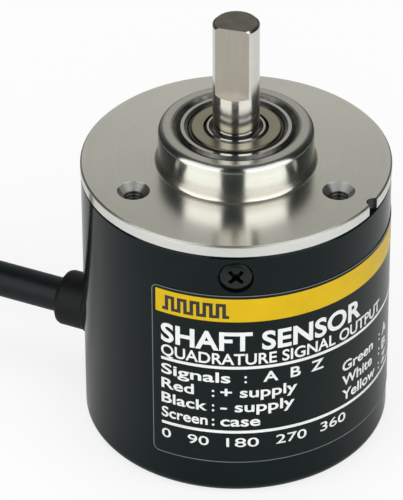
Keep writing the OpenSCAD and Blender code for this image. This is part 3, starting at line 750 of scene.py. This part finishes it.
def label():
    # edge is a painted highlight along the film's cut edge
    edge = film_material("film_edge_highlight", (0.16, 0.17, 0.17), (0.11, 0.12, 0.12), rough=0.3)
    white = film_material("print_white", (0.86, 0.87, 0.86), (0.76, 0.77, 0.76))
    yellow = film_material("print_yellow", (0.71, 0.465, 0.0015), (0.64, 0.415, 0.0015),
                           rough=0.3, ior=1.3)
    dark = film_material("print_dark", (0.012, 0.013, 0.013), (0.020, 0.021, 0.021))

    film = rolled("label_film", flat_polygon(label_outline(0.0)), FILM_LAYER,
                  MATERIALS["label_film"])
    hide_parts("name_label")
    # painted highlight: a thin paler line all round the film's cut edge
    rolled("label_edge_highlight", outline_ring(), CUT_EDGE_LAYER, edge)

    # yellow band with a dark pulse train, as on a signal diagram
    band = rounded_rect((LABEL_START + BAND_INSET) * ARC, (LABEL_END - BAND_INSET) * ARC,
                        -11.5, -8.0, corner=0.12, steps=3)
    rolled("print_band", flat_polygon(band), BLOCK_LAYER, yellow)
    rolled("print_pulse", pulse_train(), PULSE_LAYER, dark)

    print_line("print_heading", "SHAFT SENSOR", TEXT_START, 322.5, top=-13.1, bottom=-16.0,
               material=white, bold=0.028, spacing=1.02)
    print_line("print_subheading", "QUADRATURE SIGNAL OUTPUT", TEXT_START, 337.0,
               top=-16.45, bottom=-18.15, material=white, bold=0.016)
    for name, bottom in (("print_rule_1", -18.88), ("print_rule_2", -29.08)):
        x0, x1 = TEXT_START * ARC, RULE_END * ARC
        top = bottom + RULE_HEIGHT
        rule = flat_polygon([(x0, bottom), (x1, bottom), (x1, top), (x0, top)])
        rolled(name, rule, BLOCK_LAYER, white)
    for i, (name, words) in enumerate(LEGEND):
        print_row(name, words, ROW_TOP - i * ROW_PITCH, ROW_CAPITALS, white, bold=0.018)
    print_row("scale", SCALE, top=-29.85, capitals=1.4, material=white, bold=0.006)


label()


# ------------------------------------------------------------------ stage, light, camera
def floor_material():
    """Pale sheet near the part and, for reflections, painted shade on the floor beyond it."""
    s = Surface("pale_floor")
    mottle = s.noise(scale=60.0, detail=4.0, rough=0.5)
    paper = s.ramp(mottle, [(0.3, (0.90, 0.90, 0.895)), (0.7, (0.915, 0.915, 0.91))])
    # for reflections, painted shade on the floor from 125 mm out, with painted light left under
    # the two panels on the -Y side
    far = s.rise(s.radius(), 125, width=30)
    x, y, z = s.xyz()
    ahead = s.math("LESS_THAN", y, s.times(s.math("ABSOLUTE", x), -0.12))
    off_centre = s.math("ABSOLUTE", s.minus(x, s.times(y, 0.052)))
    aside = s.math("GREATER_THAN", off_centre, s.times(s.math("ABSOLUTE", y), 0.29))
    dark = s.times(far, s.minus(1.0, s.times(ahead, aside)))
    s.set(Base_Color=s.mix(dark, paper, (0.03, 0.03, 0.03)), Roughness=0.7)

    # seen directly, the floor is a white backdrop with only a faint shadow on it
    glow = s.node("ShaderNodeEmission", {"Color": (1, 1, 1), "Strength": 0.78})
    matt = s.node("ShaderNodeBsdfDiffuse", {"Color": (0.24, 0.24, 0.24)})
    backdrop = s.node("ShaderNodeAddShader", {0: glow.outputs[0], 1: matt.outputs[0]})
    seen = s.node("ShaderNodeLightPath").outputs["Is Camera Ray"]
    shader = s.node("ShaderNodeMixShader", {
        0: seen, 1: s.principled.outputs[0], 2: backdrop.outputs[0]})
    s.feed(shader.outputs[0], s.output.inputs[0])
    return s.material


def add_floor():
    bpy.ops.mesh.primitive_plane_add(size=6, location=(0, 0, CASE_LOW.z - 0.05 * MM))
    floor = bpy.context.object
    floor.name = "floor"
    floor.data.materials.append(floor_material())


def add_world():
    """Studio surroundings: pale on the +Y side, dark elsewhere, even grey overhead."""
    world = bpy.data.worlds.new("studio")
    bpy.context.scene.world = world
    n = Nodes(world, "Generated")
    x, y, z = n.xyz()
    y_squared = n.math("MAXIMUM", n.times(y, y), 1e-6)
    level = n.math("SQRT", n.plus(n.times(x, x), y_squared))
    around = n.plus(n.times(n.math("DIVIDE", y, level), 0.5), 0.5)     # 0 at -Y, 1 at +Y
    ring = n.ramp(around, [
        (0.0, (0.020, 0.034, 0.034)), (0.30, (0.020, 0.028, 0.028)),
        (0.72, (0.035, 0.040, 0.039)), (0.88, (0.09, 0.092, 0.088)),
        (0.955, (0.24, 0.242, 0.228)), (1.0, (0.53, 0.525, 0.495))])
    overhead = n.ramp(z, [(0.0, 0), (0.86, 0), (0.99, 1)])
    studio = n.mix(overhead, ring, (0.10, 0.10, 0.10))
    seen = n.node("ShaderNodeLightPath").outputs["Is Camera Ray"]
    background = n.node("ShaderNodeBackground", {0: n.mix(seen, studio, (0.93, 0.93, 0.93))})
    n.node("ShaderNodeOutputWorld", {0: background.outputs[0]})


def area_light(name, azimuth, elevation, distance, width, height, power,
               colour=(1, 1, 1), upright=False):
    """Rectangular light aimed at the origin, or level at the Z axis if upright."""
    light = bpy.data.lights.new(name, "AREA")
    light.shape = "RECTANGLE"
    light.size = width
    light.size_y = height
    light.energy = power
    light.color = colour
    obj = bpy.data.objects.new(name, light)
    a, e = math.radians(azimuth), math.radians(elevation)
    place = Vector((math.cos(a) * math.cos(e), math.sin(a) * math.cos(e), math.sin(e))) * distance
    aim = Vector((-place.x, -place.y, 0.0 if upright else -place.z))
    obj.location = place
    obj.rotation_euler = aim.to_track_quat("-Z", "Y").to_euler()
    bpy.context.scene.collection.objects.link(obj)
    return obj


def add_lights():
    # two upright panels with a dark gap between them, on the camera's side of the part
    panel = dict(elevation=36.8, distance=0.935, height=1.18, colour=(0.985, 0.99, 1.0),
                 upright=True)
    area_light("soft_left", azimuth=218.0, width=0.86, power=5.65, **panel)
    area_light("soft_right", azimuth=316.5, width=1.00, power=6.6, **panel)
    # these two light the floor and the print, and don't show in the metal
    overhead = area_light("overhead", azimuth=90, elevation=78, distance=1.0,
                          width=0.9, height=0.9, power=4.0)
    front = area_light("front_fill", azimuth=268, elevation=24, distance=1.1,
                       width=0.5, height=0.5, power=2.2)
    overhead.visible_glossy = False
    front.visible_glossy = False


def add_camera():
    place = Vector((0.0, -0.42946029922343087, 0.28495296289522605))
    right = Vector((0.9999627281978427, 0.0075795580898831375, -0.00413430940901627))
    up = Vector((-0.0009423406179446451, 0.5718067541900967, 0.820387803332513))
    back = right.cross(up).normalized()
    camera = bpy.data.cameras.new("camera")
    camera.sensor_fit = "AUTO"
    camera.sensor_width = 36
    camera.lens = 289.617
    camera.clip_start = 0.01
    camera.clip_end = 20
    obj = bpy.data.objects.new("camera", camera)
    rotation = Matrix((right, up, back)).transposed()
    obj.matrix_world = Matrix.Translation(place) @ rotation.to_4x4()
    bpy.context.scene.collection.objects.link(obj)
    bpy.context.scene.camera = obj


def set_view():
    view = bpy.context.scene.view_settings
    view.view_transform = "Standard"
    view.look = "None"
    view.exposure = 0.0
    view.gamma = 1.0


add_floor()
add_world()
add_lights()
add_camera()
set_view()
